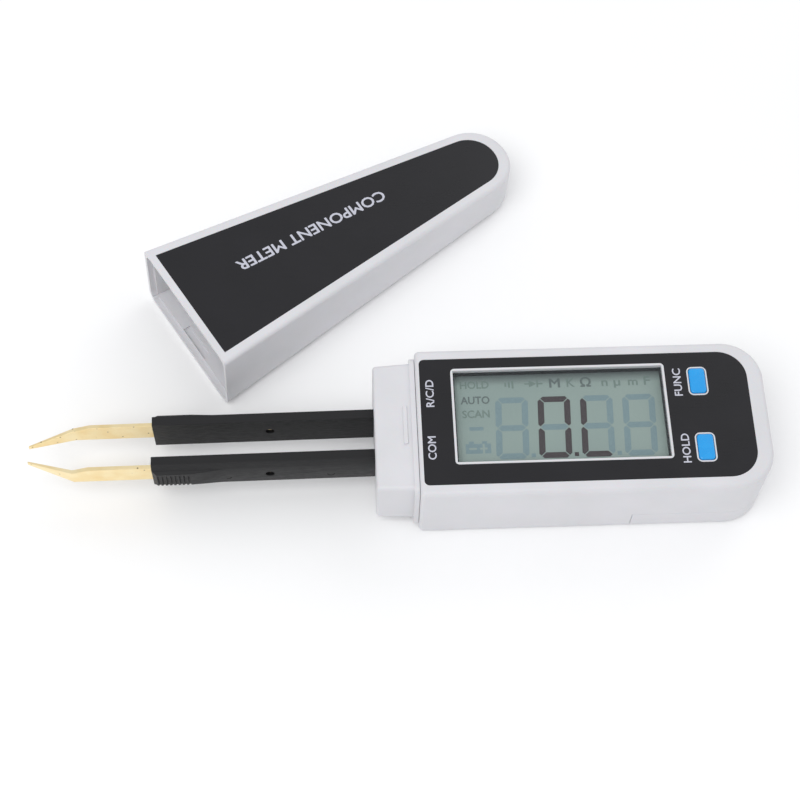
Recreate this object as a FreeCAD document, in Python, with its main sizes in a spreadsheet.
"""Tweezer-style component tester with its pull-off cap, as a parametric FreeCAD document.

Millimetres, +Z up. The tester lies on its back: the origin is the middle of the back face, X runs along
the tester with the tweezer points towards -X, and Y runs across it. Pieces of the tester are drawn with
x = 0 on the front face of the case and then placed half a case length back. Pieces of the cap are drawn
with x = 0 on the mouth and z = 0 on the middle plane, and then laid on the table beside the tester.
"""
import FreeCAD
import Part
import math
import os
import Sketcher
from FreeCAD import Placement, Rotation, Vector

SIZES = [
    # the case: a tub with a flat front end and a broad round rear end
    ("case_length", 78.2),
    ("case_width", 36.0),
    ("case_height", 20.0),
    ("wall", 1.6),
    ("top_wall", 1.6),
    ("front_corner", 1.0),
    ("rear_corner", 9.0),
    ("inner_front_corner", 0.5),
    ("edge_round", 1.2),
    ("seam_height", 1.6),
    ("fit", 0.1),
    # the black overlay sunk in the top face, and the openings in it
    ("overlay_thickness", 0.45),
    ("overlay_recess", 0.5),
    ("overlay_side_inset", 2.5),
    ("overlay_front_inset", 0.9),
    ("overlay_rear_inset", 3.7),
    ("overlay_front_corner", 1.2),
    ("overlay_rear_corner", 6.5),
    ("window_front", 7.9),
    ("window_length", 48.1),
    ("window_width", 23.6),
    ("window_shift", 1.15),
    ("window_corner", 0.9),
    ("rim_width", 0.5),
    ("window_seat", 1.1),
    ("window_ledge", 0.3),
    ("window_thickness", 0.8),
    # the two buttons
    ("button_x", 63.2),
    ("button_y", 8.2),
    ("button_length", 3.6),
    ("button_width", 6.2),
    ("button_corner", 0.8),
    ("button_rim", 0.45),
    ("button_gap", 0.12),
    ("button_proud", 0.35),
    ("button_flange", 0.9),
    ("button_flange_thickness", 0.8),
    ("button_travel", 0.35),
    # the circuit board and what stands on it
    ("pcb_bottom", 9.0),
    ("pcb_thickness", 1.6),
    ("pcb_front", 7.6),
    ("pcb_gap", 0.8),
    ("switch_side", 6.0),
    ("switch_height", 3.5),
    ("plunger_radius", 1.6),
    ("plunger_proud", 1.2),
    ("lcd_length", 51.0),
    ("lcd_width", 26.4),
    ("lcd_headroom", 0.3),
    ("lcd_thickness", 2.4),
    ("holder_wall", 1.0),
    ("holder_ledge", 0.5),
    ("holder_leg", 1.8),
    ("strip_length", 38.0),
    ("strip_width", 2.0),
    ("reflector_thickness", 0.3),
    ("blob_radius", 6.5),
    ("blob_height", 1.5),
    ("buzzer_radius", 6.0),
    ("buzzer_height", 2.8),
    # the coin cell and its contacts
    ("cell_x", 61.5),
    ("cell_radius", 10.0),
    ("cell_thickness", 3.2),
    ("contact_thickness", 0.3),
    ("clip_width", 5.0),
    # the battery cover, a tray that slides off the rear end
    ("cover_front", 47.7),
    ("cover_wall", 1.4),
    ("cover_height", 6.2),
    ("cover_gap", 0.12),
    ("tongue_width", 0.8),
    ("tongue_height", 0.7),
    ("tongue_length", 6.0),
    ("back_wall", 1.2),
    ("back_wall_height", 8.0),
    ("lip_height", 3.6),
    # the case screws
    ("front_screw_x", 12.0),
    ("front_screw_y", 13.3),
    ("rear_screw_x", 70.3),
    ("rear_screw_y", 10.9),
    ("boss_radius", 2.6),
    ("front_boss_top", 14.4),
    ("screw_radius", 1.0),
    ("screw_head_radius", 1.9),
    ("screw_head_height", 1.3),
    ("screw_length", 12.4),
    # the nose: tapered collar, flange and the neck that the case halves trap
    ("nose_length", 9.5),
    ("nose_side_step", 2.3),
    ("nose_level_step", 1.5),
    ("nose_taper", 2.4),
    ("nose_corner", 1.0),
    ("nose_low_corner", 2.6),
    ("nose_front_round", 0.8),
    ("nose_front_wall", 1.6),
    ("nose_wall", 3.2),
    ("nose_headroom", 0.3),
    ("flange_gap", 0.1),
    ("flange_thickness", 1.1),
    ("flange_step", 1.0),
    ("flange_corner", 2.0),
    ("neck_width", 28.0),
    ("neck_height", 14.0),
    ("neck_flange_width", 31.0),
    ("neck_flange_height", 15.4),
    ("neck_flange_thickness", 1.4),
    ("rib_place", 2.6),
    ("rib_base", 1.5),
    ("rib_crest", 0.8),
    ("rib_length", 9.3),
    ("rib_height", 0.35),
    # the tweezers: two arms on edge, each with a plated strip through it
    ("arm_inner", 3.85),
    ("arm_thickness", 2.85),
    ("arm_height", 10.0),
    ("arm_front", 59.2),
    ("arm_root", 2.2),
    ("arm_slant", 0.1),
    ("arm_skew", 0.45),
    ("arm_nick_length", 1.1),
    ("arm_nick_width", 0.9),
    ("arm_chamfer_in", 0.7),
    ("arm_chamfer_down", 1.7),
    ("grip_length", 8.6),
    ("grip_bulge", 0.7),
    ("grip_scoop", 7.0),
    ("grip_rib_count", 9.0),
    ("grip_groove", 0.35),
    ("grip_groove_height", 7.0),
    ("arm_hole_place", 33.0),
    ("arm_hole_radius", 1.0),
    ("tip_hole_radius", 1.4),
    ("strip_centre", 5.2),
    ("tip_thickness", 0.9),
    ("tip_height", 5.6),
    ("tip_gap", 0.05),
    ("tip_length", 87.0),
    ("tip_bend", 77.0),
    ("tip_shoulder", 73.2),
    ("tip_shoulder_end", 76.6),
    ("tip_shoulder_drop", 1.2),
    ("tip_point_inner", 1.72),
    ("tip_point_thickness", 0.36),
    ("tip_point_height", 0.9),
    ("tip_root", 6.3),
    ("pivot_x", 1.6),
    ("clamp_front", 1.2),
    ("clamp_rear", 3.0),
    ("clamp_slot", 0.16),
    ("clamp_screw_y", 9.4),
    ("clamp_screw_length", 8.0),
    ("wire_radius", 0.5),
    # the cap: a tapered shell with a round closed end
    ("cap_length", 90.6),
    ("cap_side_angle", 6.0),
    ("cap_top_angle", 2.4),
    ("cap_wall", 1.35),
    ("cap_end_wall", 1.8),
    ("cap_edge_round", 1.2),
    ("cap_low_round", 3.0),
    ("mouth_clearance", 0.15),
    ("mouth_depth", 1.4),
    ("cap_overlay_front", 1.6),
    ("cap_overlay_inset", 2.45),
    ("cap_overlay_end", 3.05),
    # where the cap lies
    ("cap_turn", 31.75),
    ("cap_mouth_x", -52.3),
    ("cap_mouth_y", 30.85),
]

doc = FreeCAD.newDocument("ComponentTester")
sheet = doc.addObject("Spreadsheet::Sheet", "Sizes")


class Dim:
    """A size that carries both its number and the sheet expression it is bound with."""

    def __init__(self, value, text):
        self.value = float(value)
        self.text = text

    def join(self, other, sign, value):
        right = other.text if isinstance(other, Dim) else repr(float(other))
        return Dim(value, "(%s %s %s)" % (self.text, sign, right))

    def __add__(self, other):
        return self.join(other, "+", self.value + number(other))

    def __sub__(self, other):
        return self.join(other, "-", self.value - number(other))

    def __mul__(self, other):
        return self.join(other, "*", self.value * number(other))

    def __truediv__(self, other):
        return self.join(other, "/", self.value / number(other))

    def __neg__(self):
        return self * -1.0


def number(size):
    return size.value if isinstance(size, Dim) else float(size)


def plain(value):
    return Dim(value, repr(float(value)))


def tangent(angle):
    return Dim(math.tan(math.radians(angle.value)), "tan(%s)" % angle.text)


def cosine(angle):
    return Dim(math.cos(math.radians(angle.value)), "cos(%s)" % angle.text)


def fill_sheet():
    """Put every driving size in its own named cell, and give each back as a Dim."""
    sizes = {}
    for row, (name, value) in enumerate(SIZES, start=1):
        sheet.set("A%d" % row, name)
        sheet.set("B%d" % row, str(value))
        sheet.setAlias("B%d" % row, name)
        sizes[name] = Dim(value, "Sizes." + name)
    doc.recompute()
    return sizes


S = fill_sheet()
ZERO = plain(0)

# heights and lines that several pieces share
HALF_LENGTH = S["case_length"] / 2
HALF_WIDTH = S["case_width"] / 2
MIDDLE = S["case_height"] / 2
OVERLAY_FLOOR = S["case_height"] - S["overlay_recess"]
CAVITY_TOP = OVERLAY_FLOOR - S["top_wall"]
INNER_HALF = HALF_WIDTH - S["wall"]
PCB_TOP = S["pcb_bottom"] + S["pcb_thickness"]
LCD_BOTTOM = CAVITY_TOP - S["lcd_headroom"] - S["lcd_thickness"]
SEAT = plain(0.05)
NOSE_WIDTH = S["case_width"] - S["nose_side_step"] * 2
NOSE_HEIGHT = S["case_height"] - S["nose_level_step"] * 2
HOLLOW_WIDTH = NOSE_WIDTH - S["nose_wall"] * 2
HOLLOW_HEIGHT = S["arm_height"] + S["nose_headroom"] * 2
FLANGE_WIDTH = S["case_width"] - S["flange_step"] * 2
FLANGE_HEIGHT = S["case_height"] - S["flange_step"] * 2
WINDOW_X = S["window_front"] + S["window_length"] / 2
WINDOW_Y = S["window_shift"]
BACK_HALF = INNER_HALF - S["fit"]
COVER_START = S["cover_front"] + S["fit"]
CELL_TOP = S["pcb_bottom"] - S["contact_thickness"] - S["fit"] * 2
SWITCH_TOP = PCB_TOP + SEAT + S["switch_height"]
SCREWS = [
    (S["front_screw_x"], S["front_screw_y"]),
    (S["front_screw_x"], -S["front_screw_y"]),
    (S["rear_screw_x"], S["rear_screw_y"]),
    (S["rear_screw_x"], -S["rear_screw_y"]),
]


# ---------------------------------------------------------------- drawing helpers


def bind(thing, path, size):
    thing.setExpression(path, size.text)


def on_tester(piece):
    """Place a piece that is drawn from the front face of the case."""
    bind(piece, "Placement.Base.x", -HALF_LENGTH)
    return piece


def new_body(name):
    body = doc.addObject("PartDesign::Body", name)
    body.Label = name
    return body


def new_sketch(body, name, plane, offset=ZERO):
    """A sketch on one of the body's own origin planes, moved along its normal by the offset."""
    sketch = body.newObject("Sketcher::SketchObject", name)
    support = [item for item in body.Origin.OriginFeatures if item.Role == plane][0]
    sketch.AttachmentSupport = (support, [""])
    sketch.MapMode = "FlatFace"
    bind(sketch, "AttachmentOffset.Base.z", offset)
    return sketch


def fix_point(sketch, index, place, x, y):
    """Tie one point of a sketch element to the sketch's origin with two bound dimensions."""
    across = Sketcher.Constraint("DistanceX", -1, 1, index, place, x.value)
    bind(sketch, "Constraints[%d]" % sketch.addConstraint(across), x)
    along = Sketcher.Constraint("DistanceY", -1, 1, index, place, y.value)
    bind(sketch, "Constraints[%d]" % sketch.addConstraint(along), y)


def draw_circle(sketch, x, y, radius):
    centre = Vector(x.value, y.value, 0)
    index = sketch.addGeometry(Part.Circle(centre, Vector(0, 0, 1), radius.value), False)
    fix_point(sketch, index, 3, x, y)
    size = sketch.addConstraint(Sketcher.Constraint("Radius", index, radius.value))
    bind(sketch, "Constraints[%d]" % size, radius)


def draw_loop(sketch, corners, radii=None):
    """A closed outline through named corners, each sharp or rounded by its own radius."""
    count = len(corners)
    if radii is None:
        radii = [None] * count
    points = [Vector(x.value, y.value, 0) for x, y in corners]
    marks = []
    for point, (x, y) in zip(points, corners):
        mark = sketch.addGeometry(Part.Point(point), True)
        fix_point(sketch, mark, 1, x, y)
        marks.append(mark)
    trims = []
    for i in range(count):
        to_last = (points[i - 1] - points[i]).normalize()
        to_next = (points[(i + 1) % count] - points[i]).normalize()
        half = to_last.getAngle(to_next) / 2
        reach = radii[i].value / math.tan(half) if radii[i] else 0.0
        trims.append((points[i] + to_last * reach, points[i] + to_next * reach, half, to_last, to_next))
    lines = []
    for i in range(count):
        j = (i + 1) % count
        line = sketch.addGeometry(Part.LineSegment(trims[i][1], trims[j][0]), False)
        lines.append(line)
        for end, k in ((1, i), (2, j)):
            if radii[k]:
                sketch.addConstraint(Sketcher.Constraint("PointOnObject", marks[k], 1, line))
            else:
                sketch.addConstraint(Sketcher.Constraint("Coincident", line, end, marks[k], 1))
    for i in range(count):
        if not radii[i]:
            continue
        start, finish, half, to_last, to_next = trims[i]
        bisector = (to_last + to_next).normalize()
        centre = points[i] + bisector * (radii[i].value / math.sin(half))
        middle = centre - bisector * radii[i].value
        arc = sketch.addGeometry(Part.Arc(start, middle, finish), False)
        ends = (1, 2)
        if sketch.getPoint(arc, 1).distanceToPoint(start) > sketch.getPoint(arc, 2).distanceToPoint(start):
            ends = (2, 1)
        sketch.addConstraint(Sketcher.Constraint("Tangent", lines[i - 1], 2, arc, ends[0]))
        sketch.addConstraint(Sketcher.Constraint("Tangent", arc, ends[1], lines[i], 1))
        size = sketch.addConstraint(Sketcher.Constraint("Radius", arc, radii[i].value))
        bind(sketch, "Constraints[%d]" % size, radii[i])


def draw_box(sketch, x0, x1, y0, y1, radius=None):
    corners = [(x0, y0), (x1, y0), (x1, y1), (x0, y1)]
    draw_loop(sketch, corners, [radius] * 4 if radius else None)


def draw_box_at(sketch, x, y, length, width, radius=None):
    draw_box(sketch, x - length / 2, x + length / 2, y - width / 2, y + width / 2, radius)


def finish(body, feature, grows):
    """Recompute, and make sure that the feature added or removed material as meant."""
    before = feature.BaseFeature.Shape.Volume if feature.BaseFeature else 0.0
    doc.recompute()
    change = feature.Shape.Volume - before
    if (change > 0) != grows or abs(change) < 1e-6:
        raise RuntimeError("%s of %s changes the volume by %.4f" % (feature.Name, body.Label, change))
    return feature


def pad(body, sketch, length, back=False, middle=False):
    feature = body.newObject("PartDesign::Pad", sketch.Name + "_pad")
    feature.Profile = sketch
    bind(feature, "Length", length)
    feature.Reversed = back
    if middle:
        feature.SideType = "Symmetric"
    return finish(body, feature, True)


def pocket(body, sketch, length, along=False, middle=False):
    """Cut against the sketch's normal, or along it."""
    feature = body.newObject("PartDesign::Pocket", sketch.Name + "_cut")
    feature.Profile = sketch
    bind(feature, "Length", length)
    feature.Reversed = along
    if middle:
        feature.SideType = "Symmetric"
    return finish(body, feature, False)


def edges_where(feature, test, middle_test):
    """Names of the edges of which both ends and the middle pass the test."""
    names = []
    for i, edge in enumerate(feature.Shape.Edges, start=1):
        low, high = edge.ParameterRange
        middle = edge.valueAt((low + high) / 2)
        points = [edge.valueAt(low), middle, edge.valueAt(high)]
        if all(test(point) for point in points) and middle_test(middle):
            names.append("Edge%d" % i)
    return names


def anywhere(p):
    return True


def soften(body, test, size, middle_test=anywhere):
    """Round the edges of the body's last feature that pass the tests."""
    base = body.Tip
    feature = body.newObject("PartDesign::Fillet", "%s_round_%d" % (body.Name, len(body.Group)))
    feature.Base = (base, edges_where(base, test, middle_test))
    bind(feature, "Radius", size)
    return finish(body, feature, False)


def near(a, b):
    return abs(a - number(b)) < 1e-4


def primitive(kind, name, **sizes):
    """A Part primitive with each named property bound."""
    piece = doc.addObject("Part::" + kind, name)
    piece.Label = name
    for path, size in sizes.items():
        bind(piece, path, size)
    return piece


def move_to(piece, x, y, z):
    """Place a primitive, with x from the front face of the case."""
    bind(piece, "Placement.Base.x", x - HALF_LENGTH)
    bind(piece, "Placement.Base.y", y)
    bind(piece, "Placement.Base.z", z)
    return piece


def block(name, x0, x1, y0, y1, z0, z1):
    piece = primitive("Box", name, Length=x1 - x0, Width=y1 - y0, Height=z1 - z0)
    return move_to(piece, x0, y0, z0)


def combine(kind, name, first, second):
    """A Part boolean: Cut, Fuse or Common."""
    piece = doc.addObject("Part::" + kind, name)
    piece.Label = name
    piece.Base = first
    piece.Tool = second
    doc.recompute()
    return piece


def fixed_shape(name, solids):
    """A group of loose solids that share one node, built from the sheet's values."""
    piece = doc.addObject("Part::Feature", name)
    piece.Label = name
    piece.Shape = solids[0] if len(solids) == 1 else Part.makeCompound(solids)
    piece.Placement = Placement(Vector(-HALF_LENGTH.value, 0, 0), Rotation())
    return piece


# ---------------------------------------------------------------- the case


def case_corners(inset):
    x1 = S["case_length"] - inset
    y1 = HALF_WIDTH - inset
    return [(inset, -y1), (x1, -y1), (x1, y1), (inset, y1)]


def draw_case(sketch, inset, front_radius):
    rear = S["rear_corner"] - inset
    draw_loop(sketch, case_corners(inset), [front_radius, rear, rear, front_radius])


def build_front_case():
    """The white tub: top, side and end walls, window, button openings and screw bosses."""
    body = new_body("front_case")
    outline = new_sketch(body, "case_outline", "XY_Plane", S["seam_height"])
    draw_case(outline, ZERO, S["front_corner"])
    pad(body, outline, S["case_height"] - S["seam_height"])
    soften(body, lambda p: near(p.z, S["case_height"]), S["edge_round"])

    cavity = new_sketch(body, "case_cavity", "XY_Plane", S["seam_height"])
    draw_case(cavity, S["wall"], S["inner_front_corner"])
    pocket(body, cavity, CAVITY_TOP - S["seam_height"], along=True)

    recess = new_sketch(body, "overlay_pocket", "XY_Plane", S["case_height"])
    draw_overlay_outline(recess, ZERO)
    draw_box_at(recess, WINDOW_X, WINDOW_Y, S["window_length"], S["window_width"], S["window_corner"])
    for side in (1, -1):
        rim_length = S["button_length"] + S["button_rim"] * 2
        rim_width = S["button_width"] + S["button_rim"] * 2
        rim_corner = S["button_corner"] + S["button_rim"]
        draw_box_at(recess, S["button_x"], S["button_y"] * side, rim_length, rim_width, rim_corner)
    pocket(body, recess, S["overlay_recess"])

    seat = new_sketch(body, "window_seat_outline", "XY_Plane", S["case_height"])
    seat_length = S["window_length"] - S["rim_width"] * 2
    seat_width = S["window_width"] - S["rim_width"] * 2
    draw_box_at(seat, WINDOW_X, WINDOW_Y, seat_length, seat_width)
    pocket(body, seat, S["window_seat"])

    opening = new_sketch(body, "window_opening", "XY_Plane", S["case_height"])
    draw_box_at(opening, WINDOW_X, WINDOW_Y, seat_length - S["window_ledge"] * 2,
                seat_width - S["window_ledge"] * 2)
    for side in (1, -1):
        draw_box_at(opening, S["button_x"], S["button_y"] * side, S["button_length"] + S["button_gap"] * 2,
                    S["button_width"] + S["button_gap"] * 2, S["button_corner"])
    pocket(body, opening, S["case_height"] - CAVITY_TOP)

    doorway = new_sketch(body, "neck_doorway", "YZ_Plane")
    half = S["neck_width"] / 2 + S["fit"]
    draw_box(doorway, -half, half, S["seam_height"], MIDDLE + S["neck_height"] / 2 + S["fit"])
    pocket(body, doorway, S["wall"], along=True)

    cutback = new_sketch(body, "cover_cutback", "XY_Plane", S["seam_height"])
    reach = HALF_WIDTH + S["wall"]
    draw_box(cutback, S["cover_front"], S["case_length"] + S["wall"], -reach, reach)
    pocket(body, cutback, S["cover_height"] + S["fit"] - S["seam_height"], along=True)

    boss_floor = PCB_TOP + SEAT
    front_bosses = new_sketch(body, "front_boss_rings", "XY_Plane", boss_floor)
    front_ribs = new_sketch(body, "front_boss_ribs", "XY_Plane", boss_floor)
    rear_bosses = new_sketch(body, "rear_boss_rings", "XY_Plane", boss_floor)
    for side in (1, -1):
        y = S["front_screw_y"] * side
        draw_circle(front_bosses, S["front_screw_x"], y, S["boss_radius"])
        y0 = y if side > 0 else -INNER_HALF - S["fit"]
        y1 = INNER_HALF + S["fit"] if side > 0 else y
        draw_box(front_ribs, S["front_screw_x"] - S["wall"], S["front_screw_x"] + S["wall"], y0, y1)
        draw_circle(rear_bosses, S["rear_screw_x"], S["rear_screw_y"] * side, S["boss_radius"])
    pad(body, front_ribs, S["front_boss_top"] - boss_floor)
    pad(body, front_bosses, S["front_boss_top"] - boss_floor)
    pad(body, rear_bosses, CAVITY_TOP + S["fit"] - boss_floor)

    pilots = new_sketch(body, "screw_pilots", "XY_Plane", boss_floor)
    for x, y in SCREWS:
        draw_circle(pilots, x, y, S["screw_radius"] + SEAT)
    pocket(body, pilots, S["front_boss_top"] - boss_floor - S["fit"] * 5, along=True)
    return on_tester(body)


def draw_overlay_outline(sketch, gap):
    x0 = S["overlay_front_inset"] + gap
    x1 = S["case_length"] - S["overlay_rear_inset"] - gap
    y1 = HALF_WIDTH - S["overlay_side_inset"] - gap
    front = S["overlay_front_corner"] - gap
    rear = S["overlay_rear_corner"] - gap
    draw_loop(sketch, [(x0, -y1), (x1, -y1), (x1, y1), (x0, y1)], [front, rear, rear, front])


def build_front_overlay():
    """The glossy black label, with openings for the window rim and the two button rims."""
    body = new_body("front_overlay")
    outline = new_sketch(body, "label_outline", "XY_Plane", OVERLAY_FLOOR)
    gap = S["fit"] / 2
    draw_overlay_outline(outline, gap)
    draw_box_at(outline, WINDOW_X, WINDOW_Y, S["window_length"] + gap * 2, S["window_width"] + gap * 2,
                S["window_corner"] + gap)
    for side in (1, -1):
        draw_box_at(outline, S["button_x"], S["button_y"] * side,
                    S["button_length"] + S["button_rim"] * 2 + gap * 2,
                    S["button_width"] + S["button_rim"] * 2 + gap * 2,
                    S["button_corner"] + S["button_rim"] + gap)
    pad(body, outline, S["overlay_thickness"])
    return on_tester(body)


def build_display_window():
    """The clear acrylic pane, dropped on a ledge inside the window rim."""
    length = S["window_length"] - S["rim_width"] * 2 - S["fit"]
    width = S["window_width"] - S["rim_width"] * 2 - S["fit"]
    floor = S["case_height"] - S["window_seat"]
    return block("display_window", WINDOW_X - length / 2, WINDOW_X + length / 2, WINDOW_Y - width / 2,
                 WINDOW_Y + width / 2, floor, floor + S["window_thickness"])


def build_back_case():
    """The back: a flat plate in front, and a stepped tray that the battery cover wraps at the rear."""
    body = new_body("back_case")
    plate = new_sketch(body, "plate_outline", "XY_Plane")
    draw_loop(plate, [(ZERO, -HALF_WIDTH), (S["cover_front"], -HALF_WIDTH), (S["cover_front"], HALF_WIDTH),
                      (ZERO, HALF_WIDTH)], [S["front_corner"], None, None, S["front_corner"]])
    pad(body, plate, S["seam_height"])
    soften(body, lambda p: near(p.z, 0) and not near(p.x, S["cover_front"]), S["edge_round"])

    # the tray's floor starts a wall's width before the cover, so that it overlaps the plate
    inset = HALF_WIDTH - BACK_HALF
    rear = S["rear_corner"] - inset
    x1 = S["case_length"] - inset
    floor_bottom = S["cover_wall"] + S["fit"]
    floor_top = S["seam_height"] + S["back_wall"]
    x0 = S["cover_front"] - S["back_wall"]
    floor = new_sketch(body, "tray_floor", "XY_Plane", floor_bottom)
    draw_loop(floor, [(x0, -BACK_HALF), (x1, -BACK_HALF), (x1, BACK_HALF), (x0, BACK_HALF)],
              [None, rear, rear, None])
    pad(body, floor, floor_top - floor_bottom)

    wall_in = BACK_HALF - S["back_wall"]
    wall_rear = rear - S["back_wall"]
    wall = new_sketch(body, "tray_wall", "XY_Plane", floor_bottom)
    draw_loop(wall, [(x0, -BACK_HALF), (x1, -BACK_HALF), (x1, BACK_HALF), (x0, BACK_HALF)],
              [None, rear, rear, None])
    x2 = x1 - S["back_wall"]
    x3 = x0 + S["back_wall"]
    draw_loop(wall, [(x3, -wall_in), (x2, -wall_in), (x2, wall_in), (x3, wall_in)],
              [None, wall_rear, wall_rear, None])
    pad(body, wall, S["back_wall_height"] - floor_bottom)

    # a low lip locates the plate inside the tub, behind the nose's inner flange
    lip = new_sketch(body, "plate_lips", "XY_Plane", S["seam_height"] / 2)
    lip_start = S["wall"] + S["neck_flange_thickness"] + S["fit"] * 6
    for side in (1, -1):
        low = BACK_HALF * side if side < 0 else wall_in
        high = BACK_HALF if side > 0 else -wall_in
        draw_box(lip, lip_start, x0 + S["fit"], low, high)
    pad(body, lip, S["lip_height"] - S["seam_height"] / 2)

    # the sill closes the doorway under the neck of the nose
    sill = new_sketch(body, "neck_sill", "XY_Plane", S["seam_height"] / 2)
    half = S["neck_width"] / 2
    draw_box(sill, ZERO, S["wall"], -half, half)
    pad(body, sill, MIDDLE - S["neck_height"] / 2 - S["fit"] - S["seam_height"] / 2)

    posts = new_sketch(body, "screw_posts", "XY_Plane", floor_bottom)
    for x, y in SCREWS:
        draw_circle(posts, x, y, S["boss_radius"])
    pad(body, posts, S["pcb_bottom"] - SEAT - floor_bottom)
    shafts = new_sketch(body, "screw_shafts", "XY_Plane")
    sinks = new_sketch(body, "screw_sinks", "XY_Plane")
    for x, y in SCREWS:
        draw_circle(shafts, x, y, S["screw_radius"] + S["fit"])
        draw_circle(sinks, x, y, S["screw_head_radius"] + S["fit"])
    pocket(body, shafts, S["pcb_bottom"], along=True)
    pocket(body, sinks, floor_top, along=True)

    # the round well that lets the coin cell in from below
    well = new_sketch(body, "cell_well", "XY_Plane")
    draw_circle(well, S["cell_x"], ZERO, S["cell_radius"] + S["fit"] * 4)
    pocket(body, well, floor_top + S["fit"], along=True)

    # straight grooves that guide the cover's tongues
    grooves = new_sketch(body, "tongue_grooves", "XY_Plane", tongue_floor() - S["cover_gap"])
    depth = S["tongue_width"] - (HALF_WIDTH - S["cover_wall"] - BACK_HALF) + S["cover_gap"]
    for side in (1, -1):
        low = BACK_HALF - depth if side > 0 else -BACK_HALF - S["fit"]
        high = BACK_HALF + S["fit"] if side > 0 else -BACK_HALF + depth
        draw_box(grooves, COVER_START + S["tongue_width"], S["case_length"], low, high)
    pocket(body, grooves, S["tongue_height"] + S["cover_gap"] * 2, along=True)
    return on_tester(body)


def tongue_floor():
    return S["seam_height"] + S["back_wall"] + S["cover_gap"] * 6


def build_battery_cover():
    """A tray with low side walls, tongues that ride in the back's grooves, and a ribbed thumb patch."""
    body = new_body("battery_cover")
    outline = new_sketch(body, "cover_outline", "XY_Plane")
    draw_loop(outline, [(COVER_START, -HALF_WIDTH), (S["case_length"], -HALF_WIDTH),
                        (S["case_length"], HALF_WIDTH), (COVER_START, HALF_WIDTH)],
              [None, S["rear_corner"], S["rear_corner"], None])
    pad(body, outline, S["cover_height"])
    soften(body, lambda p: near(p.z, 0) and not near(p.x, COVER_START), S["edge_round"])
    hollow = new_sketch(body, "cover_hollow", "XY_Plane", S["cover_wall"])
    half = HALF_WIDTH - S["cover_wall"]
    x1 = S["case_length"] - S["cover_wall"]
    rear = S["rear_corner"] - S["cover_wall"]
    start = COVER_START - S["wall"]
    draw_loop(hollow, [(start, -half), (x1, -half), (x1, half), (start, half)], [None, rear, rear, None])
    pocket(body, hollow, S["cover_height"], along=True)

    tongues = new_sketch(body, "cover_tongues", "XY_Plane", tongue_floor())
    for x in (COVER_START + S["tongue_width"] * 2, COVER_START + S["tongue_length"] * 2):
        for side in (1, -1):
            low = half - S["tongue_width"] if side > 0 else -half - S["fit"]
            high = half + S["fit"] if side > 0 else -half + S["tongue_width"]
            draw_box(tongues, x, x + S["tongue_length"], low, high)
    pad(body, tongues, S["tongue_height"])

    grip = new_sketch(body, "thumb_grooves", "XY_Plane")
    pitch = S["wall"]
    for i in range(5):
        x = COVER_START + S["tongue_length"] + pitch * i
        draw_box_at(grip, x, ZERO, pitch / 2, S["tongue_length"] * 2)
    pocket(body, grip, S["cover_gap"] * 3, along=True)
    return on_tester(body)


# ---------------------------------------------------------------- the nose


def draw_nose_section(sketch, width, height, low=None, high=None):
    """A section of the nose: a box about the middle height, with low corners and high corners."""
    half = width / 2
    bottom = MIDDLE - height / 2
    top = MIDDLE + height / 2
    draw_loop(sketch, [(-half, bottom), (half, bottom), (half, top), (-half, top)], [low, low, high, high])


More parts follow.
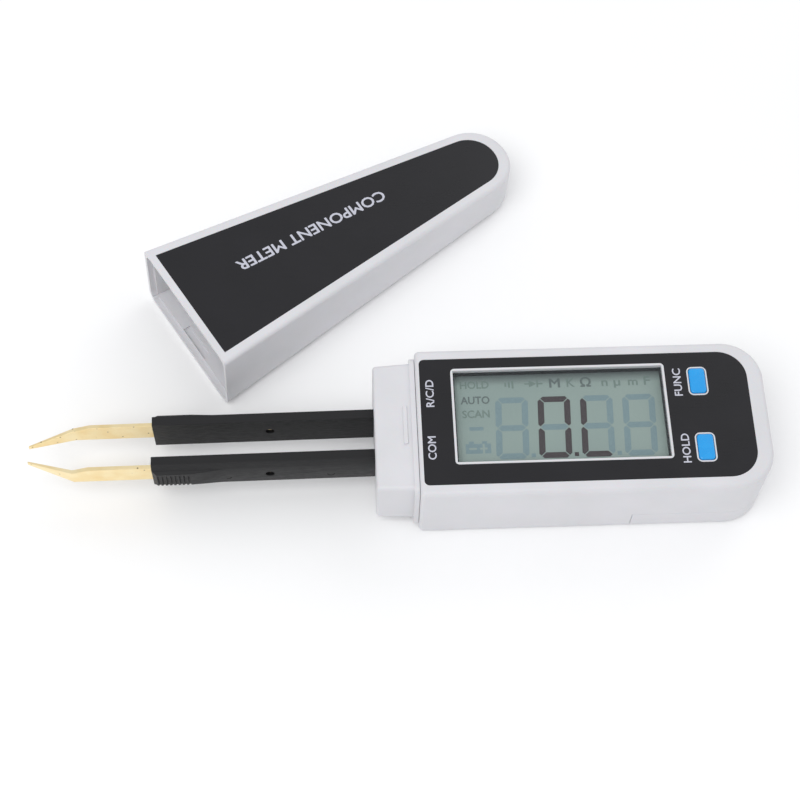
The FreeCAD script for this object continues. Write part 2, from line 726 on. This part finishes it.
def build_nose_collar():
    """The tapered collar with its flange, a neck through the case front and snap ribs for the cap."""
    body = new_body("nose_collar")
    flange_front = -(S["flange_gap"] + S["flange_thickness"])
    front = -S["nose_length"]
    shrink = (flange_front - front) * tangent(S["nose_taper"]) * 2
    base = new_sketch(body, "collar_base", "YZ_Plane", flange_front)
    draw_nose_section(base, NOSE_WIDTH, NOSE_HEIGHT, S["nose_low_corner"], S["nose_corner"])
    end = new_sketch(body, "collar_end", "YZ_Plane", front)
    draw_nose_section(end, NOSE_WIDTH - shrink, NOSE_HEIGHT - shrink, S["nose_low_corner"], S["nose_corner"])
    loft = body.newObject("PartDesign::AdditiveLoft", "collar_loft")
    loft.Profile = base
    loft.Sections = [end]
    loft.Ruled = True
    finish(body, loft, True)
    soften(body, lambda p: near(p.x, front), S["nose_front_round"])

    flange = new_sketch(body, "flange_section", "YZ_Plane", flange_front)
    draw_nose_section(flange, FLANGE_WIDTH, FLANGE_HEIGHT, S["nose_low_corner"], S["flange_corner"])
    pad(body, flange, S["flange_thickness"])
    neck = new_sketch(body, "neck_section", "YZ_Plane", -S["flange_gap"])
    draw_nose_section(neck, S["neck_width"] - S["fit"], S["neck_height"] - S["fit"])
    pad(body, neck, S["wall"] + S["flange_gap"] * 2)
    keeper = new_sketch(body, "keeper_section", "YZ_Plane", S["wall"] + S["flange_gap"])
    draw_nose_section(keeper, S["neck_flange_width"], S["neck_flange_height"])
    pad(body, keeper, S["neck_flange_thickness"])

    rear = S["wall"] + S["flange_gap"] + S["neck_flange_thickness"]
    hollow = new_sketch(body, "nose_hollow", "YZ_Plane", rear)
    draw_nose_section(hollow, HOLLOW_WIDTH, HOLLOW_HEIGHT)
    pocket(body, hollow, S["nose_length"] + rear - S["nose_front_wall"])

    slots = new_sketch(body, "arm_slots", "YZ_Plane", front + S["nose_front_wall"])
    for side in (1, -1):
        inner = S["arm_inner"] - S["fit"] * 4
        outer = S["arm_inner"] + S["arm_thickness"] + S["fit"] * 2.5
        y0 = inner if side > 0 else -outer
        y1 = outer if side > 0 else -inner
        half = S["arm_height"] / 2 + S["fit"] * 1.5
        draw_box(slots, y0, y1, MIDDLE - half, MIDDLE + half)
    pocket(body, slots, S["nose_front_wall"] + S["fit"])

    posts = new_sketch(body, "clamp_posts", "YZ_Plane", -S["clamp_front"] - S["fit"])
    for side in (1, -1):
        draw_circle(posts, S["clamp_screw_y"] * side, MIDDLE, S["boss_radius"] - S["fit"] * 4)
    pad(body, posts, S["nose_length"] - S["clamp_front"] - S["nose_front_wall"], back=True)
    pilots = new_sketch(body, "clamp_pilots", "YZ_Plane", -S["clamp_front"] - S["fit"])
    for side in (1, -1):
        draw_circle(pilots, S["clamp_screw_y"] * side, MIDDLE, S["screw_radius"] + SEAT)
    pocket(body, pilots, S["clamp_screw_length"] - S["clamp_front"] - S["fit"])

    ribs = new_sketch(body, "snap_ribs", "XZ_Plane")
    half_nose = NOSE_HEIGHT / 2
    for side in (1, -1):
        root = MIDDLE + (half_nose - S["nose_corner"]) * side
        crest = MIDDLE + (half_nose + S["rib_height"]) * side
        x = -S["rib_place"]
        draw_loop(ribs, [(x - S["rib_base"] / 2, root), (x + S["rib_base"] / 2, root),
                         (x + S["rib_crest"] / 2, crest), (x - S["rib_crest"] / 2, crest)])
    pad(body, ribs, S["rib_length"], middle=True)
    return on_tester(body)


def build_arm_clamp():
    """The block inside the nose that holds the two strips apart and stops them pulling out."""
    body = new_body("arm_clamp_block")
    gap = S["fit"] * 1.5
    outline = new_sketch(body, "clamp_outline", "YZ_Plane", -S["clamp_front"])
    draw_nose_section(outline, HOLLOW_WIDTH - gap * 2, HOLLOW_HEIGHT - gap * 2)
    pad(body, outline, S["clamp_front"] + S["clamp_rear"])
    slots = new_sketch(body, "clamp_slots", "YZ_Plane", S["clamp_rear"])
    for side in (1, -1):
        draw_box_at(slots, S["strip_centre"] * side, MIDDLE, S["tip_thickness"] + S["clamp_slot"] * 2,
                    S["tip_height"] + S["clamp_slot"] * 2)
    pocket(body, slots, S["clamp_front"] + S["clamp_rear"])
    holes = new_sketch(body, "clamp_holes", "YZ_Plane", S["clamp_rear"])
    sinks = new_sketch(body, "clamp_sinks", "YZ_Plane", S["clamp_rear"])
    for side in (1, -1):
        draw_circle(holes, S["clamp_screw_y"] * side, MIDDLE, S["screw_radius"] + S["fit"])
        draw_circle(sinks, S["clamp_screw_y"] * side, MIDDLE, S["screw_head_radius"] + S["fit"])
    pocket(body, holes, S["clamp_front"] + S["clamp_rear"])
    pocket(body, sinks, S["screw_head_height"] + S["fit"])
    return on_tester(body)


# ---------------------------------------------------------------- the tweezers


def hang_tweezer(body, side):
    """Place an arm or a strip, turned a little about the line on which it pivots in the clamp."""
    pivot = Vector(S["pivot_x"].value, S["strip_centre"].value * side, 0)
    skew = Rotation(Vector(0, 0, 1), S["arm_skew"].value)
    body.Placement = Placement(Vector(-HALF_LENGTH.value, 0, 0), skew, pivot)
    return body


def build_arm(name, side):
    """A black bar on edge, with a ribbed grip at its front end and a slot for the plated strip."""
    body = new_body(name)
    inner = S["arm_inner"] * side
    outer = (S["arm_inner"] + S["arm_thickness"]) * side
    bulge = (S["arm_inner"] + S["arm_thickness"] + S["grip_bulge"]) * side
    front = -S["arm_front"]
    grip_end = front + S["grip_length"]
    scoop_end = grip_end + S["grip_scoop"]
    plan = new_sketch(body, name + "_plan", "XY_Plane", MIDDLE - S["arm_height"] / 2)
    draw_loop(plan, [(front, inner), (-S["arm_root"], inner), (-S["arm_root"], outer), (scoop_end, outer),
                     (grip_end, bulge), (front + S["arm_nick_length"], bulge),
                     (front, bulge - S["arm_nick_width"] * side)])
    pad(body, plan, S["arm_height"])

    # a long chamfer along the outer edges, above and below
    outline = new_sketch(body, name + "_bevel", "YZ_Plane", -S["arm_root"])
    top = MIDDLE + S["arm_height"] / 2
    bottom = MIDDLE - S["arm_height"] / 2
    beyond = (S["arm_inner"] + S["arm_thickness"] + S["grip_bulge"] * 2) * side
    for edge, down in ((top, S["arm_chamfer_down"]), (bottom, -S["arm_chamfer_down"])):
        over = edge + down
        inset = outer - S["arm_chamfer_in"] * side
        draw_loop(outline, [(inset, edge), (inset, over), (beyond, over), (beyond, edge - down * 1.6),
                            (outer, edge - down)])
    pocket(body, outline, S["arm_front"])

    # the front end leans back a little towards the top
    lean = new_sketch(body, name + "_lean", "XZ_Plane")
    beyond = front - S["wall"]
    draw_loop(lean, [(beyond, bottom), (front, bottom), (front + S["arm_slant"], top), (beyond, top)])
    pocket(body, lean, S["case_width"], middle=True)

    slot = new_sketch(body, name + "_slot", "YZ_Plane", -S["arm_root"])
    draw_box_at(slot, S["strip_centre"] * side, MIDDLE, S["tip_thickness"] + S["tip_gap"] * 2,
                S["tip_height"] + S["tip_gap"] * 2)
    pocket(body, slot, S["arm_front"])

    hole = new_sketch(body, name + "_hole", "XZ_Plane")
    draw_circle(hole, -S["arm_hole_place"], MIDDLE, S["arm_hole_radius"])
    pocket(body, hole, S["case_width"], middle=True)

    # upright grooves leave the ribs of the grip standing
    grooves = new_sketch(body, name + "_grooves", "XY_Plane", bottom)
    count = int(S["grip_rib_count"].value)
    pitch = S["grip_length"] / S["grip_rib_count"]
    for i in range(1, count):
        x = front + S["arm_nick_length"] / 2 + pitch * i
        low = bulge - S["grip_groove"] if side > 0 else bulge - S["wall"]
        high = bulge + S["wall"] if side > 0 else bulge + S["grip_groove"]
        draw_box(grooves, x - pitch * 0.22, x + pitch * 0.22, low, high)
    pocket(body, grooves, S["grip_groove_height"], along=True)
    return hang_tweezer(body, side)


def build_tip(name, side):
    """A gold-plated strip on edge: through the clamp and the arm, bent inwards and drawn to a point."""
    body = new_body(name)
    top = MIDDLE + S["tip_height"] / 2
    bottom = MIDDLE - S["tip_height"] / 2
    length = S["tip_length"]
    profile = new_sketch(body, name + "_side", "XZ_Plane")
    draw_loop(profile, [(S["tip_root"], bottom), (S["tip_root"], top), (-S["tip_shoulder"], top),
                        (-S["tip_shoulder_end"], top - S["tip_shoulder_drop"]),
                        (-length, MIDDLE + S["tip_point_height"] / 2),
                        (-length, MIDDLE - S["tip_point_height"] / 2), (-S["tip_bend"], bottom)])
    pad(body, profile, S["case_width"], middle=True)

    near_face = (S["strip_centre"] - S["tip_thickness"] / 2) * side
    far_face = (S["strip_centre"] + S["tip_thickness"] / 2) * side
    point_in = S["tip_point_inner"] * side
    point_out = (S["tip_point_inner"] + S["tip_point_thickness"]) * side
    plan = new_sketch(body, name + "_plan", "XY_Plane", S["case_height"])
    reach = S["case_width"]
    draw_box(plan, -length - reach, S["tip_root"] + reach, -reach, reach)
    draw_loop(plan, [(S["tip_root"], near_face), (S["tip_root"], far_face), (-S["tip_bend"], far_face),
                     (-length, point_out), (-length, point_in), (-S["tip_bend"], near_face)])
    pocket(body, plan, S["case_height"])
    hole = new_sketch(body, name + "_hole", "XZ_Plane")
    draw_circle(hole, -S["arm_hole_place"], MIDDLE, S["tip_hole_radius"])
    pocket(body, hole, S["case_width"], middle=True)
    return hang_tweezer(body, side)


def lead_wire(name, side):
    """A short insulated lead from the root of a strip down to its pad on the board."""
    radius = S["wire_radius"].value
    y = (S["strip_centre"].value + S["tip_thickness"].value / 2 + radius + S["fit"].value * 2) * side
    high = MIDDLE.value + S["tip_height"].value / 3
    low = PCB_TOP.value + radius + SEAT.value
    drop = high - low
    x0 = S["clamp_rear"].value + S["fit"].value * 2
    x1 = S["tip_root"].value + S["fit"].value
    bend = drop * 1.2
    angle = math.acos(1 - drop / (2 * bend))
    dx = bend * math.sin(angle)
    half = angle / 2
    start = Vector(x0, y, high)
    turn_one = Vector(x1, y, high)
    middle = Vector(x1 + dx, y, high - drop / 2)
    turn_two = Vector(x1 + 2 * dx, y, low)
    end = Vector(x1 + 2 * dx + S["wall"].value, y, low)
    crest = Vector(x1 + bend * math.sin(half), y, high - bend * (1 - math.cos(half)))
    trough = Vector(x1 + 2 * dx - bend * math.sin(half), y, low + bend * (1 - math.cos(half)))
    path = Part.Wire([
        Part.LineSegment(start, turn_one).toShape(),
        Part.Arc(turn_one, crest, middle).toShape(),
        Part.Arc(middle, trough, turn_two).toShape(),
        Part.LineSegment(turn_two, end).toShape(),
    ])
    ring = Part.Wire([Part.Circle(start, Vector(1, 0, 0), radius).toShape()])
    solid = path.makePipeShell([ring], True, False)
    print(name, "bend radius %.2f, length %.2f, volume %.3f of %.3f" % (
        bend, path.Length, solid.Volume, math.pi * radius ** 2 * path.Length))
    return fixed_shape(name, [solid])


# ---------------------------------------------------------------- display, board and switches


def build_lcd():
    """The glass panel, its reflector foil, its holder and the two elastomer strips under it."""
    x0 = WINDOW_X - S["lcd_length"] / 2
    x1 = WINDOW_X + S["lcd_length"] / 2
    y0 = WINDOW_Y - S["lcd_width"] / 2
    y1 = WINDOW_Y + S["lcd_width"] / 2
    top = LCD_BOTTOM + S["lcd_thickness"]
    block("lcd_panel", x0, x1, y0, y1, LCD_BOTTOM, top)
    margin = S["strip_width"] * 2
    block("lcd_reflector", x0 + margin, x1 - margin, y0 + margin, y1 - margin,
          LCD_BOTTOM - S["reflector_thickness"], LCD_BOTTOM)

    body = new_body("lcd_holder")
    outer = S["holder_wall"] + S["fit"]
    floor = LCD_BOTTOM - S["holder_ledge"]
    frame = new_sketch(body, "holder_frame", "XY_Plane", floor)
    draw_box(frame, x0 - outer, x1 + outer, y0 - outer, y1 + outer)
    pad(body, frame, top - floor - S["fit"])
    seat = new_sketch(body, "holder_seat", "XY_Plane", LCD_BOTTOM)
    draw_box(seat, x0 - S["fit"], x1 + S["fit"], y0 - S["fit"], y1 + S["fit"])
    pocket(body, seat, S["lcd_thickness"], along=True)
    light = new_sketch(body, "holder_opening", "XY_Plane", floor)
    ledge = S["holder_ledge"]
    draw_box(light, x0 + ledge, x1 - ledge, y0 + ledge, y1 - ledge)
    pocket(body, light, S["holder_ledge"], along=True)
    legs = new_sketch(body, "holder_legs", "XY_Plane", PCB_TOP + SEAT)
    leg = S["holder_leg"]
    for x in (x0 + S["lcd_length"] * 0.25, x1 - S["fit"]):
        draw_box(legs, x - leg / 2, x + leg / 2, y0 - outer, y0 + ledge)
        draw_box(legs, x - leg / 2, x + leg / 2, y1 - ledge, y1 + outer)
    pad(body, legs, floor - PCB_TOP - SEAT + S["fit"])
    on_tester(body)

    strips = []
    for side in (1, -1):
        y = WINDOW_Y.value + (S["lcd_width"] / 2 - S["strip_width"] / 2 - S["holder_ledge"]).value * side
        y -= S["strip_width"].value / 2
        height = LCD_BOTTOM.value - PCB_TOP.value
        x = x1.value - S["holder_leg"].value - S["fit"].value * 2 - S["strip_length"].value
        corner = Vector(x, y, PCB_TOP.value)
        strips.append(Part.makeBox(S["strip_length"].value, S["strip_width"].value, height, corner))
    fixed_shape("elastomer_strips", strips)


def build_board():
    """The main circuit board with its four screw holes."""
    body = new_body("main_pcb")
    outline = new_sketch(body, "board_outline", "XY_Plane", S["pcb_bottom"])
    half = INNER_HALF - S["pcb_gap"]
    x1 = S["case_length"] - S["wall"] - S["pcb_gap"]
    rear = S["rear_corner"] - S["wall"] - S["pcb_gap"]
    draw_loop(outline, [(S["pcb_front"], -half), (x1, -half), (x1, half), (S["pcb_front"], half)],
              [S["front_corner"], rear, rear, S["front_corner"]])
    for x, y in SCREWS:
        draw_circle(outline, x, y, S["screw_radius"] + S["fit"] * 2)
    pad(body, outline, S["pcb_thickness"])
    return on_tester(body)


def build_board_parts():
    """Small parts on both faces of the board: controller blob, passives, crystal and buzzer."""
    blob = new_body("controller_blob")
    section = new_sketch(blob, "blob_outline", "XY_Plane", PCB_TOP)
    draw_circle(section, WINDOW_X, ZERO, S["blob_radius"])
    pad(blob, section, S["blob_height"])
    soften(blob, lambda p: near(p.z, PCB_TOP + S["blob_height"]), S["blob_height"] * 0.9)
    on_tester(blob)

    top = PCB_TOP.value
    bottom = S["pcb_bottom"].value
    chips = []
    for i in range(9):
        x = S["window_front"].value + 4.2 * i + 2.0
        for y, turned in ((-5.2, i % 2), (7.4, (i + 1) % 2)):
            if abs(x - WINDOW_X.value) > S["blob_radius"].value + 2 or abs(y) > S["blob_radius"].value + 1:
                size = (1.25, 2.0) if turned else (2.0, 1.25)
                chips.append(Part.makeBox(size[0], size[1], 0.6, Vector(x, y, top)))
        if abs(x - buzzer_x()) > S["buzzer_radius"].value + 2:
            chips.append(Part.makeBox(2.0, 1.25, 0.6, Vector(x, -9.0, bottom - 0.6)))
            chips.append(Part.makeBox(1.6, 0.8, 0.5, Vector(x, 9.0, bottom - 0.5)))
    fixed_shape("board_components", chips)

    can = new_body("crystal")
    outline = new_sketch(can, "can_outline", "XY_Plane", PCB_TOP)
    centre_x = S["window_front"] + S["window_length"] * 0.8
    draw_box_at(outline, centre_x, ZERO, plain(10.2), plain(3.8), plain(1.85))
    pad(can, outline, plain(3.2))
    on_tester(can)

    buzzer = primitive("Cylinder", "buzzer", Radius=S["buzzer_radius"], Height=S["buzzer_height"])
    move_to(buzzer, plain(buzzer_x()), ZERO, S["pcb_bottom"] - S["buzzer_height"])


def buzzer_x():
    return S["window_front"].value + S["window_length"].value / 3


def build_buttons():
    """The two blue keys, each with a hidden flange, and the switch and plunger under each."""
    bodies = []
    floor = SWITCH_TOP + S["plunger_proud"] + SEAT
    flange_top = CAVITY_TOP - S["fit"]
    for name, side in (("func_button", 1), ("hold_button", -1)):
        y = S["button_y"] * side
        key = new_body(name)
        shaft = new_sketch(key, name + "_key", "XY_Plane", floor)
        draw_box_at(shaft, S["button_x"], y, S["button_length"], S["button_width"], S["button_corner"])
        pad(key, shaft, S["case_height"] + S["button_proud"] - floor)
        soften(key, lambda p: near(p.z, S["case_height"] + S["button_proud"]), S["button_proud"])
        flange = new_sketch(key, name + "_flange", "XY_Plane", flange_top - S["button_flange_thickness"])
        draw_box_at(flange, S["button_x"], y, S["button_length"] + S["button_flange"] * 2,
                    S["button_width"] + S["button_flange"] * 2)
        pad(key, flange, S["button_flange_thickness"])
        on_tester(key)
        plunger = primitive("Cylinder", name.replace("button", "plunger"), Radius=S["plunger_radius"],
                            Height=S["plunger_proud"] + S["switch_height"] / 3)
        move_to(plunger, S["button_x"], y, SWITCH_TOP - S["switch_height"] / 3)
        bodies.append(key)

    switches = []
    side_length = S["switch_side"].value
    for side in (1, -1):
        x = S["button_x"].value - side_length / 2
        y = S["button_y"].value * side
        base = PCB_TOP.value + SEAT.value
        solid = Part.makeBox(side_length, side_length, S["switch_height"].value,
                             Vector(x, y - side_length / 2, base))
        well = S["switch_height"].value / 3 + S["button_travel"].value + 2 * S["fit"].value
        hole = Part.makeCylinder(S["plunger_radius"].value + S["fit"].value, well + 1,
                                 Vector(S["button_x"].value, y, SWITCH_TOP.value - well))
        switches.append(solid.cut(hole))
    fixed_shape("tact_switches", switches)
    return bodies


# ---------------------------------------------------------------- battery and screws


def build_battery():
    """The coin cell between a round contact above it and a bridge-shaped clip below it."""
    cell = primitive("Cylinder", "cell_blank", Radius=S["cell_radius"], Height=S["cell_thickness"])
    move_to(cell, S["cell_x"], ZERO, CELL_TOP - S["cell_thickness"])
    doc.recompute()
    rounded = doc.addObject("Part::Fillet", "coin_cell")
    rounded.Label = "coin_cell"
    rounded.Base = cell
    edge = 0.3
    rims = [i for i, e in enumerate(cell.Shape.Edges, start=1) if e.Curve.TypeId == "Part::GeomCircle"]
    rounded.Edges = [(i, edge, edge) for i in rims]

    contact = primitive("Cylinder", "negative_contact", Radius=S["cell_radius"] * 0.4,
                        Height=S["contact_thickness"])
    move_to(contact, S["cell_x"], ZERO, S["pcb_bottom"] - S["contact_thickness"] - S["fit"] / 2)

    clip = new_body("positive_clip")
    bridge = new_sketch(clip, "clip_section", "YZ_Plane", S["cell_x"])
    inner = S["cell_radius"] + S["fit"] * 3
    outer = inner + S["contact_thickness"]
    top = S["pcb_bottom"] - S["fit"] / 2
    ceiling = CELL_TOP - S["cell_thickness"] - S["fit"] / 2
    floor = ceiling - S["contact_thickness"]
    draw_loop(bridge, [(-outer, top), (-outer, floor), (outer, floor), (outer, top), (inner, top),
                       (inner, ceiling), (-inner, ceiling), (-inner, top)])
    pad(clip, bridge, S["clip_width"], middle=True)
    on_tester(clip)


def pan_screw(place, direction, length):
    """A pan-head screw with a cross recess, its head's underside at the given place."""
    radius = S["screw_radius"].value
    head = S["screw_head_radius"].value
    height = S["screw_head_height"].value
    shank = Part.makeCylinder(radius, length, Vector(0, 0, 0), Vector(0, 0, 1))
    cap = Part.makeCylinder(head, height, Vector(0, 0, -height), Vector(0, 0, 1))
    rim = [edge for edge in cap.Edges if near(edge.CenterOfMass.z, -height)]
    cap = cap.makeFillet(height * 0.4, rim)
    solid = shank.fuse(cap)
    slot = head * 0.55
    thin = head * 0.2
    deep = height * 0.55
    for size in ((2 * slot, thin), (thin, 2 * slot)):
        solid = solid.cut(Part.makeBox(size[0], size[1], deep,
                                       Vector(-size[0] / 2, -size[1] / 2, -height)))
    solid = solid.removeSplitter()
    solid.Placement = Placement(place, Rotation(Vector(0, 0, 1), direction))
    return solid


def build_screws():
    """Four case screws from below, and two screws that hold the clamp block in the nose."""
    head_seat = S["seam_height"].value + S["back_wall"].value
    case_screws = [pan_screw(Vector(x.value, y.value, head_seat), Vector(0, 0, 1),
                             S["screw_length"].value - head_seat) for x, y in SCREWS]
    fixed_shape("case_screws", case_screws)
    seat = S["clamp_rear"].value - S["screw_head_height"].value - S["fit"].value
    clamp_screws = [pan_screw(Vector(seat, S["clamp_screw_y"].value * side, MIDDLE.value),
                              Vector(-1, 0, 0), S["clamp_screw_length"].value) for side in (1, -1)]
    fixed_shape("clamp_screws", clamp_screws)


# ---------------------------------------------------------------- the cap


def cap_half_width(x):
    return HALF_WIDTH - x * tangent(S["cap_side_angle"])


def cap_half_height(x):
    return MIDDLE - x * tangent(S["cap_top_angle"])


def cap_pose():
    """Lay the cap on its sloping lower face beside the tester."""
    angle = S["cap_top_angle"].value
    lift = MIDDLE.value * math.cos(math.radians(angle))
    lean = Rotation(Vector(0, 1, 0), angle)
    turn = Rotation(Vector(0, 0, 1), S["cap_turn"].value)
    place = Vector(S["cap_mouth_x"].value - HALF_LENGTH.value, S["cap_mouth_y"].value, lift)
    return Placement(place, turn.multiply(lean))


def draw_cap_plan(sketch, x0, end, inset):
    """The tapered outline of the cap with its round end, every side moved in by the inset."""
    slant = inset / cosine(S["cap_side_angle"])
    tip = cap_half_width(end) - slant
    turn = (S["cap_side_angle"] + 90) / 2
    nose = (tip - S["fit"]) * tangent(turn)
    side = cap_half_width(x0) - slant
    draw_loop(sketch, [(x0, -side), (end, -tip), (end, tip), (x0, side)], [None, nose, nose, None])


def wedge_body(name, x0, end, drop, inset):
    """A solid with the cap's side view, trimmed to the cap's plan."""
    body = new_body(name)
    profile = new_sketch(body, name + "_side", "XZ_Plane")
    high = cap_half_height(x0) - drop
    low = cap_half_height(end) - drop
    draw_loop(profile, [(x0, -high), (end, -low), (end, low), (x0, high)])
    pad(body, profile, S["case_width"] * 2, middle=True)
    plan = new_sketch(body, name + "_plan", "XY_Plane", S["case_height"])
    reach = S["case_width"]
    draw_box(plan, x0 - reach, end + reach, -reach, reach)
    draw_cap_plan(plan, x0, end, inset)
    pocket(body, plan, S["case_height"] * 2)
    return body


def tilt_on_top(sketch, rise):
    """Lay a sketch on the cap's sloping top face, moved along its normal by the rise."""
    angle = S["cap_top_angle"]
    sketch.AttachmentOffset = Placement(Vector(0, 0, 0), Rotation(Vector(0, 1, 0), angle.value))
    bind(sketch, "AttachmentOffset.Rotation.Angle", angle)
    bind(sketch, "AttachmentOffset.Base.z", MIDDLE + rise / cosine(angle))


def draw_cap_label(sketch, gap):
    x0 = S["cap_overlay_front"] + gap
    end = S["cap_length"] - S["cap_overlay_end"] - gap
    draw_cap_plan(sketch, x0, end, S["cap_overlay_inset"] + gap)


def build_cap():
    """The pull-off cap: a tapered shell with a stepped mouth, two snap slots and a black label."""
    outer = wedge_body("cap_outer", ZERO, S["cap_length"], ZERO, ZERO)
    soften(outer, is_cap_rim, S["cap_edge_round"], lambda p: p.x > number(S["cap_wall"]) and p.z > 0)
    soften(outer, is_cap_rim, S["cap_low_round"], lambda p: p.x > number(S["cap_wall"]) and p.z < 0)
    recess = new_sketch(outer, "cap_label_pocket", "XY_Plane")
    tilt_on_top(recess, ZERO)
    draw_cap_label(recess, ZERO)
    pocket(outer, recess, S["overlay_recess"])

    inner = wedge_body("cap_inner", ZERO, S["cap_length"] - S["cap_end_wall"], S["cap_wall"], S["cap_wall"])
    step = new_sketch(inner, "mouth_step", "YZ_Plane")
    half_width = FLANGE_WIDTH / 2 + S["mouth_clearance"]
    half_height = FLANGE_HEIGHT / 2 + S["mouth_clearance"]
    draw_loop(step, [(-half_width, -half_height), (half_width, -half_height), (half_width, half_height),
                     (-half_width, half_height)],
              [S["nose_low_corner"], S["nose_low_corner"], S["flange_corner"], S["flange_corner"]])
    pad(inner, step, S["mouth_depth"])
    slots = new_sketch(inner, "snap_slots", "XZ_Plane")
    place = S["rib_place"] - S["flange_gap"]
    reach = NOSE_HEIGHT / 2 + S["rib_height"] + S["mouth_clearance"]
    half_slot = S["rib_base"] / 2 + S["mouth_clearance"]
    draw_box(slots, place - half_slot, place + half_slot, -reach, reach)
    pad(inner, slots, S["rib_length"] + S["mouth_clearance"] * 2, middle=True)
    shell = combine("Cut", "cap_shell", outer, inner)
    shell.Placement = cap_pose()

    label = new_body("cap_overlay")
    outline = new_sketch(label, "cap_label_outline", "XY_Plane")
    tilt_on_top(outline, -S["overlay_recess"])
    draw_cap_label(outline, S["fit"] / 2)
    pad(label, outline, S["overlay_thickness"])
    label.Placement = cap_pose()


def is_cap_rim(p):
    """True for points on the long top and bottom edges of the cap's outside."""
    return near(abs(p.z), MIDDLE.value - p.x * math.tan(math.radians(S["cap_top_angle"].value)))


# ---------------------------------------------------------------- build, check and write

build_front_case()
build_front_overlay()
build_display_window()
build_back_case()
build_battery_cover()
build_nose_collar()
build_arm_clamp()
build_arm("signal_arm", 1)
build_arm("common_arm", -1)
build_tip("signal_tip", 1)
build_tip("common_tip", -1)
lead_wire("signal_lead", 1)
lead_wire("common_lead", -1)
build_lcd()
build_board()
build_board_parts()
build_buttons()
build_battery()
build_screws()
build_cap()
doc.recompute()

NODES = [
    "front_case", "front_overlay", "display_window", "back_case", "battery_cover", "nose_collar",
    "arm_clamp_block", "signal_arm", "common_arm", "signal_tip", "common_tip", "signal_lead",
    "common_lead", "lcd_panel", "lcd_reflector", "lcd_holder", "elastomer_strips", "main_pcb",
    "controller_blob", "board_components", "crystal", "buzzer", "func_button", "hold_button",
    "func_plunger", "hold_plunger", "tact_switches", "coin_cell", "negative_contact", "positive_clip",
    "case_screws", "clamp_screws", "cap_shell", "cap_overlay",
]

failed = [item.Label for item in doc.Objects if "Invalid" in item.State or "Error" in item.State]
if failed:
    raise RuntimeError("these objects failed: " + ", ".join(failed))

os.makedirs("parts", exist_ok=True)
for node in NODES:
    piece = doc.getObjectsByLabel(node)[0]
    shape = piece.Shape
    if shape.isNull() or not shape.isValid() or not shape.Solids:
        raise RuntimeError(node + " has no valid solid")
    shape.exportStep("parts/%s.step" % node)
    print("%-18s %2d solid(s) %10.2f mm3" % (node, len(shape.Solids), shape.Volume))
